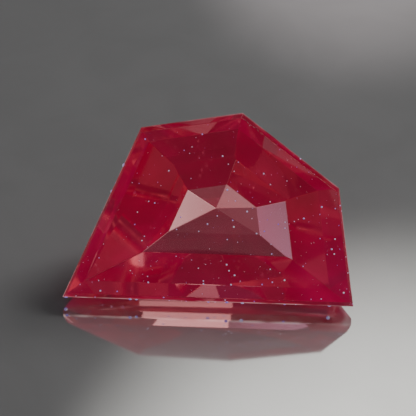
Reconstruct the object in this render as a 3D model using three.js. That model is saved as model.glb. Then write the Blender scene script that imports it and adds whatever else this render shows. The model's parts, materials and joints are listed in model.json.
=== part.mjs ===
// A cut spinel, in millimetres: a five-sided step cut that lies on one of its lower facets.
import * as THREE from "three";
import { ConvexGeometry } from "three/addons/geometries/ConvexGeometry.js";
import { mergeVertices } from "three/addons/utils/BufferGeometryUtils.js";

// Heights along the stone's own axis, up from the lower edge of the girdle and down from it
const girdleThickness = 0.24;
const crownHeight = 0.23;
const girdleTierDepth = 1.16;
const culetTierDepth = 3.03;
const culetDepth = 3.58;

// Place of the culet, the stone's deepest point, seen from above the table
const culetAcross = 0.3;
const culetBack = 0.0;

// Corners of the girdle outline seen from above the table, across and towards the back
const frontLeft = new THREE.Vector2(-4.92, -3.24);
const backLeft = new THREE.Vector2(-2.41, 2.71);
const backRight = new THREE.Vector2(1.08, 3.33);
const shoulder = new THREE.Vector2(4.51, 0.84);
const frontRight = new THREE.Vector2(5.14, -3.24);

// The lower facet that the stone lies on is level when the table leans back by its angle
const restingAngle = 53;

// Each side of the outline has one crown facet and four steps below the girdle.
// Angles are degrees from the table, from the girdle down. Insets are measured in from the side.
const sides = [
  { from: frontLeft, to: backLeft, crownInset: 0.09, angles: [69.5, 44.7, 42.4], culetInset: 2.36 },
  { from: backLeft, to: backRight, crownInset: 0.19, angles: [66.5, 50.8, 39.2], culetInset: 2.35 },
  { from: backRight, to: shoulder, crownInset: 0.17, angles: [67, 54, 37], culetInset: 2.25 },
  { from: shoulder, to: frontRight, crownInset: 0.11, angles: [59, 48.6, 30], culetInset: 2.86 },
  { from: frontRight, to: frontLeft, crownInset: 0.15, angles: [64.5, restingAngle, 33], culetInset: 2.34 },
];

const culet = new THREE.Vector3(culetAcross, culetBack, -culetDepth);
const up = new THREE.Vector3(0, 0, 1);

// Points closer together than this are one corner of the stone
const cornerTolerance = 1e-5;

// Level direction that points out of the stone, square to one side
function outwardOf(side) {
  const along = new THREE.Vector2().subVectors(side.to, side.from).normalize();
  return new THREE.Vector3(-along.y, along.x, 0);
}

// Point at a distance in from a side and at a height, on the line that starts at its first corner
function pointInFrom(side, inset, height) {
  return new THREE.Vector3(side.from.x, side.from.y, height).addScaledVector(outwardOf(side), -inset);
}

// Plane of a step: it faces down and out, at an angle from the table, through a point
function stepPlane(side, angle, point) {
  const lean = THREE.MathUtils.degToRad(angle);
  const normal = outwardOf(side).multiplyScalar(Math.sin(lean)).addScaledVector(up, -Math.cos(lean));
  return new THREE.Plane().setFromNormalAndCoplanarPoint(normal, point);
}

// Plane of the last step: it runs from its upper edge to the culet
function culetPlane(side, edgePoint) {
  const outward = outwardOf(side);
  const run = new THREE.Vector3().subVectors(edgePoint, culet).dot(outward);
  const rise = edgePoint.z - culet.z;
  return stepPlane(side, THREE.MathUtils.radToDeg(Math.atan2(rise, run)), edgePoint);
}

// Plane of the crown facet: it runs from the upper edge of the girdle in to the table
function crownPlane(side) {
  const normal = outwardOf(side).multiplyScalar(crownHeight).addScaledVector(up, side.crownInset).normalize();
  return new THREE.Plane().setFromNormalAndCoplanarPoint(normal, pointInFrom(side, 0, girdleThickness));
}

function planesOf(side) {
  const [firstAngle, secondAngle, thirdAngle] = side.angles;
  const secondStepInset = girdleTierDepth / Math.tan(THREE.MathUtils.degToRad(firstAngle));
  const girdleEdge = pointInFrom(side, 0, 0);
  const secondStepEdge = pointInFrom(side, secondStepInset, -girdleTierDepth);
  const culetTierEdge = pointInFrom(side, side.culetInset, -culetTierDepth);
  return [
    crownPlane(side),
    new THREE.Plane().setFromNormalAndCoplanarPoint(outwardOf(side), girdleEdge),
    stepPlane(side, firstAngle, girdleEdge),
    stepPlane(side, secondAngle, secondStepEdge),
    stepPlane(side, thirdAngle, culetTierEdge),
    culetPlane(side, culetTierEdge),
  ];
}

// Point where three planes meet, or null where they have no single meeting point
function meetingPoint(first, second, third) {
  const normals = new THREE.Matrix3().set(
    first.normal.x, first.normal.y, first.normal.z,
    second.normal.x, second.normal.y, second.normal.z,
    third.normal.x, third.normal.y, third.normal.z,
  );
  if (Math.abs(normals.determinant()) < cornerTolerance) {
    return null;
  }
  return new THREE.Vector3(-first.constant, -second.constant, -third.constant).applyMatrix3(normals.invert());
}

// Corners of the stone: the meeting points that no other facet cuts away
function cornersOf(planes) {
  const corners = [];
  for (let i = 0; i < planes.length; i += 1) {
    for (let j = i + 1; j < planes.length; j += 1) {
      for (let k = j + 1; k < planes.length; k += 1) {
        const point = meetingPoint(planes[i], planes[j], planes[k]);
        const kept = point && planes.every((plane) => plane.distanceToPoint(point) < cornerTolerance);
        if (kept && !corners.some((corner) => corner.distanceTo(point) < cornerTolerance)) {
          corners.push(point);
        }
      }
    }
  }
  return corners;
}

function spinelGeometry() {
  const table = new THREE.Plane(up, -(girdleThickness + crownHeight));
  const facets = [table, ...sides.flatMap(planesOf)];
  const geometry = new ConvexGeometry(cornersOf(facets));
  geometry.deleteAttribute("normal");
  return mergeVertices(geometry, cornerTolerance);
}

const crimson = new THREE.MeshStandardMaterial({ color: 0x9c1230, roughness: 0.05, metalness: 0 });
const spinel = new THREE.Mesh(spinelGeometry(), crimson);
spinel.name = "spinel";
spinel.rotation.x = THREE.MathUtils.degToRad(restingAngle);

// The origin is on the floor, under the middle of the stone's box
const lyingBox = new THREE.Box3().setFromObject(spinel, true);
const lyingCentre = lyingBox.getCenter(new THREE.Vector3());
spinel.position.set(-lyingCentre.x, -lyingCentre.y, -lyingBox.min.z);

const stone = new THREE.Group();
stone.add(spinel);

export default stone;
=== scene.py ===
# Crimson spinel, a step-cut stone lying on one of its lower facets, on a pale floor
import bpy
import bmesh
import json
import math
from mathutils import Matrix, Vector


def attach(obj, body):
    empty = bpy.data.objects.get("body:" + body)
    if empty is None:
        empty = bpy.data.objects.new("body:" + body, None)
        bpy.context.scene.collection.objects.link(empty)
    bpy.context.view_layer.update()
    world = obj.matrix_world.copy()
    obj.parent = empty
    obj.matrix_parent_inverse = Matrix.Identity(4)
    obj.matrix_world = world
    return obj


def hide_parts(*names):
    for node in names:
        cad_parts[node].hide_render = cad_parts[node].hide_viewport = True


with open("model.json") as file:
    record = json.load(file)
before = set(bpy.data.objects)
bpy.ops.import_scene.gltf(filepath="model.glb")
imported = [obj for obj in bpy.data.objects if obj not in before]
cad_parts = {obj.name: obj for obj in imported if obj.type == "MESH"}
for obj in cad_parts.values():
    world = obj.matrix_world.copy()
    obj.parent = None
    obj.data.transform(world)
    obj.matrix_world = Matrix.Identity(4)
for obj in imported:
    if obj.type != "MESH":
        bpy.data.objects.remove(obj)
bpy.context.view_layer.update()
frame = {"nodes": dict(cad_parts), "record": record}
mm = 0.001

# The stone's table facet: the stone's own heights are measured from it, along its axis
tableMount = next(mount for mount in frame["record"]["mounts"] if mount["name"] == "table")
tableAxis = Vector(tableMount["axis"])
tablePoint = Vector(tableMount["pos_m"])


# Camera: it looks squarely at the table facet, and leans a little to one side
cameraView = {
    "aim": (-0.11 * mm, -0.353 * mm, 2.844 * mm),   # the middle of the picture, at the girdle's height
    "azimuth": math.radians(-0.57),
    "elevation": math.radians(37.0),
    "roll": math.radians(2.29),
    "distance": 56.25 * mm,
    "focalLength": 140.2,            # this and the sensor's width are in millimetres
    "sensorWidth": 36.0,
    "nearest": 1 * mm,
    "farthest": 10.0,
}


def buildCamera(view):
    data = bpy.data.cameras.new("camera")
    data.lens = view["focalLength"]
    data.sensor_width = view["sensorWidth"]
    data.clip_start = view["nearest"]
    data.clip_end = view["farthest"]
    camera = bpy.data.objects.new("camera", data)
    bpy.context.collection.objects.link(camera)
    tilt = math.pi / 2 - view["elevation"]
    turn = Matrix.Rotation(view["azimuth"], 4, "Z") @ Matrix.Rotation(tilt, 4, "X")
    backward = turn @ Vector((0, 0, 1))
    place = Vector(view["aim"]) + backward * view["distance"]
    camera.matrix_world = Matrix.Translation(place) @ turn @ Matrix.Rotation(view["roll"], 4, "Z")
    bpy.context.scene.camera = camera


buildCamera(cameraView)
print("camera placed")


# Small helpers for node trees
def addNode(tree, kind, place, **settings):
    node = tree.nodes.new(kind)
    node.location = place
    for name, value in settings.items():
        setattr(node, name, value)
    return node


def addSockets(tree, direction, kind, names):
    for name in names:
        tree.interface.new_socket(name, in_out=direction, socket_type=kind)


# An input gets either a link from another node or a value of its own
def feed(tree, socket, value):
    if isinstance(value, bpy.types.NodeSocket):
        tree.links.new(value, socket)
    elif socket.type == "RGBA":
        socket.default_value = (*value, 1)
    else:
        socket.default_value = value


def feedAll(tree, node, values):
    for name, value in values.items():
        feed(tree, node.inputs[name], value)


def mathNode(tree, operation, place, *values):
    node = addNode(tree, "ShaderNodeMath", place, operation=operation)
    for socket, value in zip(node.inputs, values):
        feed(tree, socket, value)
    return node.outputs["Value"]


def vectorNode(tree, operation, place, first, second):
    node = addNode(tree, "ShaderNodeVectorMath", place, operation=operation)
    feed(tree, node.inputs[0], first)
    feed(tree, node.inputs["Scale" if operation == "SCALE" else 1], second)
    return node.outputs["Value" if operation in ("DOT_PRODUCT", "DISTANCE") else "Vector"]


def rangeNode(tree, place, value, fromRange, toRange, course="LINEAR"):
    node = addNode(tree, "ShaderNodeMapRange", place, interpolation_type=course)
    feed(tree, node.inputs["Value"], value)
    for name, bound in zip(("From Min", "From Max", "To Min", "To Max"), (*fromRange, *toRange)):
        feed(tree, node.inputs[name], bound)
    return node.outputs["Result"]


def colourBlend(tree, place, factor, low, high):
    node = addNode(tree, "ShaderNodeMix", place, data_type="RGBA")
    feedAll(tree, node, {"Factor": factor, "A": low, "B": high})
    return node.outputs["Result"]


def newMaterial(name):
    material = bpy.data.materials.new(name)
    material.use_nodes = True
    material.node_tree.nodes.clear()
    return material


# Soft mottling: a smooth noise in the piece's own space, as a colour between two colours and as a mask
mottleShape = {
    "distortion": 0.6,
    "fadeRange": (0.32, 0.68),       # noise levels where the low colour ends and the high one is full
}


def buildMottleGroup(shape):
    group = bpy.data.node_groups.new("mottle", "ShaderNodeTree")
    addSockets(group, "INPUT", "NodeSocketFloat", ("Scale", "Detail"))
    addSockets(group, "INPUT", "NodeSocketColor", ("Low", "High"))
    addSockets(group, "OUTPUT", "NodeSocketColor", ("Colour",))
    addSockets(group, "OUTPUT", "NodeSocketFloat", ("Mask",))
    entry = addNode(group, "NodeGroupInput", (-800, 0)).outputs
    noise = addNode(group, "ShaderNodeTexNoise", (-550, 150))
    feedAll(group, noise, {
        "Vector": addNode(group, "ShaderNodeTexCoord", (-800, 250)).outputs["Object"],
        "Scale": entry["Scale"],
        "Detail": entry["Detail"],
        "Distortion": shape["distortion"],
    })
    mask = rangeNode(group, (-300, 150), noise.outputs["Fac"], shape["fadeRange"], (0.0, 1.0), "SMOOTHSTEP")
    colour = colourBlend(group, (0, 0), mask, entry["Low"], entry["High"])
    leave = addNode(group, "NodeGroupOutput", (400, 0))
    feedAll(group, leave, {"Colour": colour, "Mask": mask})
    return group


mottleGroup = buildMottleGroup(mottleShape)


def addMottle(tree, place, scale, detail, low, high):
    node = addNode(tree, "ShaderNodeGroup", place, node_tree=mottleGroup)
    feedAll(tree, node, {"Scale": scale, "Detail": detail, "Low": low, "High": high})
    return node.outputs


# The crystal: clear red spinel that swallows green and blue, with a faint painted red glow on all its facets
crystalLook = {
    "indexOfRefraction": 1.718,
    "absorptionColour": (0.88, 0.08, 0.12),
    "absorptionDensity": 218.0,      # per metre
    # strength of the painted red glow: the facets give off light though they are no lamp
    "paintedGlowStrength": 0.35,
    # patches of painted red glow on the steps, as a noise between two colours
    "glowPatchScale": 420.0,
    "glowPatchDetail": 2.5,
    "glowPatchLow": (0.075, 0.001, 0.017),
    "glowPatchHigh": (0.17, 0.002, 0.042),
    "nearBack": (1.3, 0.5),          # share of the painted glow patches towards the long side, and towards the back
    "backStretch": (-0.5 * mm, 2.6 * mm),   # it changes between these, up the slope from the table's middle
    # the even painted red glow on the table and the crown
    "tablePaintedGlow": (0.155, 0.006, 0.026),
    "girdleTop": -0.23 * mm,         # this and the next are heights from the table facet
    "girdleBottom": -0.47 * mm,
    "girdleFade": 0.03 * mm,
    # the girdle's greyer painted glow, in a fine grain; its roughness below is the real ground finish
    "girdleGlowColour": (0.14, 0.08, 0.09),
    "girdleGrain": 4000.0,
    "girdleDetail": 3.0,
    "girdleRoughness": 0.06,
    "rimHighlightWidth": 0.065 * mm,           # half width of the painted pale highlight line where the crown meets the girdle
    "rimHighlightColour": (1.0, 0.82, 0.8),
    "tablePolish": 0.0,
    "stepPolish": 0.025,
    "stepSmear": 0.08,
    "smearScale": 900.0,
    "smearDetail": 4.0,
}


def crystalMaterial(look):
    material = newMaterial("crimsonCrystal")
    tree = material.node_tree
    position = addNode(tree, "ShaderNodeTexCoord", (-1800, 0)).outputs["Object"]

    # Height from the table, which tells the crown, the girdle and the steps below it apart
    along = vectorNode(tree, "DOT_PRODUCT", (-1600, 0), position, tableAxis)
    height = mathNode(tree, "SUBTRACT", (-1400, 0), along, tableAxis.dot(tablePoint))
    top, bottom, fade = look["girdleTop"], look["girdleBottom"], look["girdleFade"]
    belowTop = rangeNode(tree, (-1200, 200), height, (top + fade, top), (0.0, 1.0))
    aboveBottom = rangeNode(tree, (-1200, 0), height, (bottom - fade, bottom), (0.0, 1.0))
    girdle = mathNode(tree, "MULTIPLY", (-1000, 100), belowTop, aboveBottom)
    steps = mathNode(tree, "SUBTRACT", (-1000, -100), 1.0, aboveBottom)

    # Polish: clear on the table and the crown, smeared in patches on the steps, even round the girdle
    smear = addMottle(tree, (-1000, 400), look["smearScale"], look["smearDetail"], (0, 0, 0), (1, 1, 1))
    smeared = rangeNode(tree, (-800, 400), smear["Mask"], (0.0, 1.0), (look["stepPolish"], look["stepSmear"]))
    polish = rangeNode(tree, (-600, 300), steps, (0.0, 1.0), (look["tablePolish"], smeared))
    roughness = rangeNode(tree, (-400, 200), girdle, (0.0, 1.0), (polish, look["girdleRoughness"]))

    # Painted glow: an even red on the table and the crown, and on the steps patches of painted red glow that
    # fade towards the back
    glowPatches = addMottle(
        tree, (-800, -300), look["glowPatchScale"], look["glowPatchDetail"], look["glowPatchLow"], look["glowPatchHigh"]
    )
    upSlope = Vector((0, tableAxis.z, -tableAxis.y))
    climb = vectorNode(tree, "DOT_PRODUCT", (-1600, -300), position, upSlope)
    stretch = [upSlope.dot(tablePoint) + end for end in look["backStretch"]]
    fading = rangeNode(tree, (-1200, -300), climb, stretch, look["nearBack"])
    faded = vectorNode(tree, "SCALE", (-600, -250), glowPatches["Colour"], fading)
    deep = colourBlend(tree, (-500, -200), steps, look["tablePaintedGlow"], faded)

    # Over it a greyer, grainy painted glow on the ground girdle, and a broken painted pale highlight along
    # the rim above it
    grain = addMottle(
        tree, (-800, -600), look["girdleGrain"], look["girdleDetail"], look["glowPatchLow"], look["girdleGlowColour"]
    )
    body = colourBlend(tree, (-400, -300), girdle, deep, grain["Colour"])
    fromRim = mathNode(tree, "SUBTRACT", (-1000, -800), height, top)
    offRim = mathNode(tree, "ABSOLUTE", (-800, -800), fromRim)
    # a painted highlight: a pale line of emitted light along the rim, broken by the smear mask
    nearRimHighlight = rangeNode(tree, (-600, -800), offRim, (0.0, look["rimHighlightWidth"]), (1.0, 0.0))
    brokenRimHighlight = mathNode(tree, "MULTIPLY", (-400, -800), nearRimHighlight, smear["Mask"])
    rim = mathNode(tree, "MULTIPLY", (-300, -700), brokenRimHighlight, fading)
    glow = colourBlend(tree, (-200, -300), rim, body, look["rimHighlightColour"])

    shader = addNode(tree, "ShaderNodeBsdfPrincipled", (0, 0))
    feedAll(tree, shader, {
        "Base Color": (1, 1, 1),
        "Roughness": roughness,
        "IOR": look["indexOfRefraction"],
        "Transmission Weight": 1.0,
        # Painted glow: the stone's faces give off this light of their own
        "Emission Color": glow,
        "Emission Strength": look["paintedGlowStrength"],
    })
    absorption = addNode(tree, "ShaderNodeVolumeAbsorption", (0, -500))
    feedAll(tree, absorption, {"Color": look["absorptionColour"], "Density": look["absorptionDensity"]})
    output = addNode(tree, "ShaderNodeOutputMaterial", (350, 0))
    feedAll(tree, output, {"Surface": shader.outputs["BSDF"], "Volume": absorption.outputs["Volume"]})
    return material


# The stone itself: the cut facets with hair-fine worn edges
stoneSizes = {
    "edgeWear": 0.012 * mm,
    "edgeSteps": 2,
    "edgeProfile": 0.5,              # a half makes the edge round
    "sameCorner": 0.0001 * mm,       # corners closer than this are one
    "sameFacet": math.radians(0.5),  # triangles that meet flatter than this are one facet
}


def buildStone(sizes, material):
    mesh = bmesh.new()
    mesh.from_mesh(frame["nodes"]["spinel"].data)
    bmesh.ops.remove_doubles(mesh, verts=mesh.verts, dist=sizes["sameCorner"])
    bmesh.ops.dissolve_limit(mesh, angle_limit=sizes["sameFacet"], verts=mesh.verts, edges=mesh.edges)
    bmesh.ops.bevel(
        mesh,
        geom=mesh.edges[:],
        offset=sizes["edgeWear"],
        segments=sizes["edgeSteps"],
        profile=sizes["edgeProfile"],
        affect="EDGES",
        clamp_overlap=True,
    )
    bmesh.ops.recalc_face_normals(mesh, faces=mesh.faces)
    data = bpy.data.meshes.new("stone")
    mesh.to_mesh(data)
    mesh.free()
    for face in data.polygons:
        face.use_smooth = False
    data.materials.append(material)
    stone = bpy.data.objects.new("stone", data)
    bpy.context.collection.objects.link(stone)
    return stone


stone = buildStone(stoneSizes, crystalMaterial(crystalLook))
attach(stone, "root")
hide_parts("spinel")
print("stone built with", len(stone.data.polygons), "faces")


# Dust: tiny pale specks on the table, thicker to the right, and along two stretches of the rim.
# A patch's centre, reach and speck radius are in millimetres.
dustLook = {
    "smallest": 0.3,                 # speck sizes, as shares of the patch's speck radius
    "largest": 1.9,
    "rarity": 3.0,                   # how much rarer large specks are than small ones
    "flattening": 0.6,
    "rimTop": -0.2 * mm,             # faces above this height are the table's and the crown's
    "rimBottom": -0.5 * mm,          # and those between the two are the rim's
    "patches": [
        {
            "name": "tableDust", "on": "top", "centre": (4.4, -1.6, 2.4), "reach": 5.6,
            "perSquareMm": 19.0, "speckRadius": 0.02, "seed": 4,
        },
        {
            "name": "hazeDust", "on": "top", "centre": (0.0, 0.0, 3.5), "reach": 30.0,
            "perSquareMm": 0.5, "speckRadius": 0.02, "seed": 9,
        },
        {
            "name": "rightRimDust", "on": "rim", "centre": (4.9, -1.1, 1.8), "reach": 2.3,
            "perSquareMm": 200.0, "speckRadius": 0.042, "seed": 2,
        },
        {
            "name": "leftRimDust", "on": "rim", "centre": (-4.6, -2.6, 1.0), "reach": 2.2,
            "perSquareMm": 60.0, "speckRadius": 0.042, "seed": 6,
        },
    ],
    "clumpScale": 900.0,
    "clumpNoise": (0.4, 0.6),        # between these two noise levels
    "clumpShare": (0.15, 1.0),       # the dust grows from this share of its thickness to all of it
    "colourLow": (0.3, 0.18, 0.85),
    "colourHigh": (0.92, 0.88, 0.98),
    "grainScale": 9000.0,
    "grainDetail": 2.0,
    "roughness": 0.9,
    "paintedGlint": 0.45,                   # painted glint: the specks give off a weak light in their own colours
}


def dustMaterial(look):
    material = newMaterial("paleDust")
    tree = material.node_tree
    grain = addMottle(
        tree, (-300, 0), look["grainScale"], look["grainDetail"], look["colourLow"], look["colourHigh"]
    )
    shader = addNode(tree, "ShaderNodeBsdfPrincipled", (0, 0))
    feedAll(tree, shader, {
        "Base Color": grain["Colour"],
        "Roughness": look["roughness"],
        # the specks' painted glint, in their own colours
        "Emission Color": grain["Colour"],
        "Emission Strength": look["paintedGlint"],
    })
    output = addNode(tree, "ShaderNodeOutputMaterial", (300, 0))
    feed(tree, output.inputs["Surface"], shader.outputs["BSDF"])
    return material


# The stone's faces that a patch of dust can lie on
def facetsOf(stone, part, look):
    reaches = {"top": (look["rimTop"], math.inf), "rim": (look["rimBottom"], look["rimTop"])}
    lowest, highest = reaches[part]
    tableHeight = tableAxis.dot(tablePoint)
    mesh = bmesh.new()
    mesh.from_mesh(stone.data)
    unwanted = []
    for face in mesh.faces:
        height = face.calc_center_median().dot(tableAxis) - tableHeight
        if not lowest < height <= highest:
            unwanted.append(face)
    bmesh.ops.delete(mesh, geom=unwanted, context="FACES")
    data = bpy.data.meshes.new(part + "Facets")
    mesh.to_mesh(data)
    mesh.free()
    return data


def scatterTree(look, material):
    tree = bpy.data.node_groups.new("scatterDust", "GeometryNodeTree")
    addSockets(tree, "INPUT", "NodeSocketGeometry", ("Geometry",))
    addSockets(tree, "INPUT", "NodeSocketFloat", (
        "Density", "Reach", "Speck Radius", "Smallest", "Largest", "Rarity", "Flattening", "Clump Scale",
    ))
    addSockets(tree, "INPUT", "NodeSocketVector", ("Centre",))
    addSockets(tree, "INPUT", "NodeSocketInt", ("Seed",))
    addSockets(tree, "OUTPUT", "NodeSocketGeometry", ("Geometry",))
    entry = addNode(tree, "NodeGroupInput", (-1400, 0)).outputs
    position = addNode(tree, "GeometryNodeInputPosition", (-1400, -400)).outputs["Position"]

    # Thickest at the centre, thinning out to nothing at the reach, and clumped
    gap = vectorNode(tree, "DISTANCE", (-1200, -300), position, entry["Centre"])
    thinning = rangeNode(tree, (-1000, -200), gap, (0.0, entry["Reach"]), (1.0, 0.0), "SMOOTHSTEP")
    clump = addNode(tree, "ShaderNodeTexNoise", (-1200, -600))
    feedAll(tree, clump, {"Vector": position, "Scale": entry["Clump Scale"]})
    clumped = rangeNode(tree, (-1000, -600), clump.outputs["Fac"], look["clumpNoise"], look["clumpShare"])
    share = mathNode(tree, "MULTIPLY", (-800, -300), thinning, clumped)
    density = mathNode(tree, "MULTIPLY", (-600, -200), share, entry["Density"])
    points = addNode(tree, "GeometryNodeDistributePointsOnFaces", (-400, 100))
    feedAll(tree, points, {"Mesh": entry["Geometry"], "Density": density, "Seed": entry["Seed"]})

    # A speck is a flattened grain of twenty faces, and has a size of its own
    speck = addNode(tree, "GeometryNodeMeshIcoSphere", (-400, -200))
    feed(tree, speck.inputs["Radius"], entry["Speck Radius"])
    chance = addNode(tree, "FunctionNodeRandomValue", (-400, -400), data_type="FLOAT")
    feed(tree, chance.inputs["Seed"], entry["Seed"])
    chanceNumber = chance.outputs[1]   # all its outputs have one name, and the second is the plain number
    rare = mathNode(tree, "POWER", (-300, -600), chanceNumber, entry["Rarity"])
    width = rangeNode(tree, (-200, -400), rare, (0.0, 1.0), (entry["Smallest"], entry["Largest"]))
    flat = mathNode(tree, "MULTIPLY", (-200, -500), width, entry["Flattening"])
    scale = addNode(tree, "ShaderNodeCombineXYZ", (0, -400))
    feedAll(tree, scale, {"X": width, "Y": width, "Z": flat})
    grains = addNode(tree, "GeometryNodeInstanceOnPoints", (200, 0))
    feedAll(tree, grains, {
        "Points": points.outputs["Points"],
        "Instance": speck.outputs["Mesh"],
        "Rotation": points.outputs["Rotation"],
        "Scale": scale.outputs["Vector"],
    })
    real = addNode(tree, "GeometryNodeRealizeInstances", (400, 0))
    feed(tree, real.inputs["Geometry"], grains.outputs["Instances"])
    coated = addNode(tree, "GeometryNodeSetMaterial", (600, 0))
    feedAll(tree, coated, {"Geometry": real.outputs["Geometry"], "Material": material})
    leave = addNode(tree, "NodeGroupOutput", (800, 0))
    feed(tree, leave.inputs["Geometry"], coated.outputs["Geometry"])
    return tree


def scatterPatch(stone, look, patch, tree):
    carrier = bpy.data.objects.new(patch["name"], facetsOf(stone, patch["on"], look))
    bpy.context.collection.objects.link(carrier)
    modifier = carrier.modifiers.new("scatter", "NODES")
    modifier.node_group = tree
    values = {
        "Density": patch["perSquareMm"] / (mm * mm),
        "Reach": patch["reach"] * mm,
        "Centre": tuple(c * mm for c in patch["centre"]),
        "Seed": patch["seed"],
        "Speck Radius": patch["speckRadius"] * mm,
        "Smallest": look["smallest"],
        "Largest": look["largest"],
        "Rarity": look["rarity"],
        "Flattening": look["flattening"],
        "Clump Scale": look["clumpScale"],
    }
    for item in tree.interface.items_tree:
        if item.in_out == "INPUT" and item.name in values:
            modifier[item.identifier] = values[item.name]
    ready = carrier.evaluated_get(bpy.context.evaluated_depsgraph_get())
    data = bpy.data.meshes.new_from_object(ready)
    bpy.data.objects.remove(carrier)
    return data


def buildDust(stone, look):
    material = dustMaterial(look)
    tree = scatterTree(look, material)
    mesh = bmesh.new()
    for patch in look["patches"]:
        data = scatterPatch(stone, look, patch, tree)
        print(patch["name"], "scattered,", len(data.polygons), "faces")
        mesh.from_mesh(data)
    bmesh.ops.recalc_face_normals(mesh, faces=mesh.faces)
    whole = bpy.data.meshes.new("dust")
    mesh.to_mesh(whole)
    mesh.free()
    whole.materials.append(material)
    dust = bpy.data.objects.new("dust", whole)
    bpy.context.collection.objects.link(dust)
    return dust


dust = buildDust(stone, dustLook)
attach(dust, "root")


# Floor: a plain pale polished sheet that gives back a soft image of what stands on it
floorLook = {
    "size": 0.6,
    "airGap": 0.02 * mm,             # air under the stone, so that its lowest facet mirrors the inside
    "colourLow": (0.74, 0.74, 0.73),
    "colourHigh": (0.78, 0.78, 0.77),
    "grainScale": 300.0,
    "grainDetail": 5.0,
    "roughness": 0.06,
    "indexOfRefraction": 1.5,
    "metallic": 0.7,
}


def floorMaterial(look):
    material = newMaterial("paleFloor")
    tree = material.node_tree
    grain = addMottle(
        tree, (-300, 0), look["grainScale"], look["grainDetail"], look["colourLow"], look["colourHigh"]
    )
    shader = addNode(tree, "ShaderNodeBsdfPrincipled", (0, 0))
    feedAll(tree, shader, {
        "Base Color": grain["Colour"],
        "Roughness": look["roughness"],
        "IOR": look["indexOfRefraction"],
        "Metallic": look["metallic"],
    })
    output = addNode(tree, "ShaderNodeOutputMaterial", (300, 0))
    feed(tree, output.inputs["Surface"], shader.outputs["BSDF"])
    return material


def buildFloor(look):
    half = look["size"] / 2
    level = -look["airGap"]
    data = bpy.data.meshes.new("floor")
    corners = [(-half, -half, level), (half, -half, level), (half, half, level), (-half, half, level)]
    data.from_pydata(corners, [], [(0, 1, 2, 3)])
    data.materials.append(floorMaterial(look))
    floor = bpy.data.objects.new("floor", data)
    bpy.context.collection.objects.link(floor)


buildFloor(floorLook)
print("floor laid")


# Soft studio light: a dim even surround with broad soft lights in it, and one lamp.
# Azimuth turns from straight behind the stone to the right, and elevation is above the floor. A soft light
# is full inside its core and gone at its reach, all in degrees. The lamp's place and size are in millimetres.
studioLight = {
    "surround": (0.022, 0.02, 0.022),
    "softLights": [
        {
            "azimuth": 12, "elevation": 50, "core": 5, "reach": 14,
            "colour": (1.0, 0.99, 0.95), "strength": 1.7,
        },
        {
            "azimuth": 28, "elevation": 41, "core": 5, "reach": 11,
            "colour": (1.0, 0.95, 0.92), "strength": 0.85,
        },
        {
            "azimuth": 63, "elevation": 45, "core": 4, "reach": 13,
            "colour": (1.0, 0.98, 0.95), "strength": 1.0,
        },
        {
            "azimuth": -38, "elevation": 43, "core": 3, "reach": 11,
            "colour": (0.85, 0.66, 1.0), "strength": 0.7,
        },
        {
            "azimuth": -30, "elevation": 57, "core": 4, "reach": 12,
            "colour": (1.0, 0.86, 0.86), "strength": 0.54,
        },
        {
            "azimuth": 6, "elevation": 25, "core": 2, "reach": 8,
            "colour": (1.0, 0.9, 0.92), "strength": 0.42,
        },
        {
            "azimuth": 118, "elevation": 56, "core": 5, "reach": 12,
            "colour": (0.72, 1.0, 1.0), "strength": 0.95,
        },
        {
            "azimuth": -115, "elevation": 55, "core": 3, "reach": 9,
            "colour": (0.7, 0.9, 1.0), "strength": 0.6,
        },
        {
            "azimuth": -125, "elevation": 25, "core": 6, "reach": 20,
            "colour": (1.0, 0.95, 0.95), "strength": 0.12,
        },
    ],
    "lamps": [
        {"name": "keyLamp", "place": (94, 79, 106), "aim": (0, 0, 2), "size": 60, "power": 0.14},
    ],
}


def directionOf(azimuth, elevation):
    side = math.radians(azimuth)
    height = math.radians(elevation)
    return (math.cos(height) * math.sin(side), math.cos(height) * math.cos(side), math.sin(height))


def buildSurround(studio):
    world = bpy.data.worlds.new("surround")
    world.use_nodes = True
    tree = world.node_tree
    direction = addNode(tree, "ShaderNodeTexCoord", (-1200, 0)).outputs["Generated"]
    total = studio["surround"]
    for step, softLight in enumerate(studio["softLights"]):
        across = -900 + step * 250
        middle = directionOf(softLight["azimuth"], softLight["elevation"])
        facing = vectorNode(tree, "DOT_PRODUCT", (across, -100), direction, middle)
        edges = [math.cos(math.radians(softLight[name])) for name in ("reach", "core")]
        fade = rangeNode(tree, (across, 100), facing, edges, (0.0, 1.0), "SMOOTHSTEP")
        colour = tuple(c * softLight["strength"] for c in softLight["colour"])
        tint = vectorNode(tree, "SCALE", (across, 300), colour, fade)
        total = vectorNode(tree, "ADD", (across, 500), total, tint)
    feed(tree, tree.nodes["Background"].inputs["Color"], total)
    bpy.context.scene.world = world


def buildLamps(studio):
    for lamp in studio["lamps"]:
        data = bpy.data.lights.new(lamp["name"], "AREA")
        data.shape = "DISK"
        data.size = lamp["size"] * mm
        data.energy = lamp["power"]
        light = bpy.data.objects.new(lamp["name"], data)
        place = Vector(lamp["place"]) * mm
        aim = Vector(lamp["aim"]) * mm
        light.location = place
        light.rotation_euler = (place - aim).to_track_quat("Z", "Y").to_euler()
        light.visible_glossy = False          # a lamp brightens the floor and the dust,
        light.visible_transmission = False    # and leaves no image of itself in the facets
        bpy.context.collection.objects.link(light)


buildSurround(studioLight)
buildLamps(studioLight)
print("lights set")
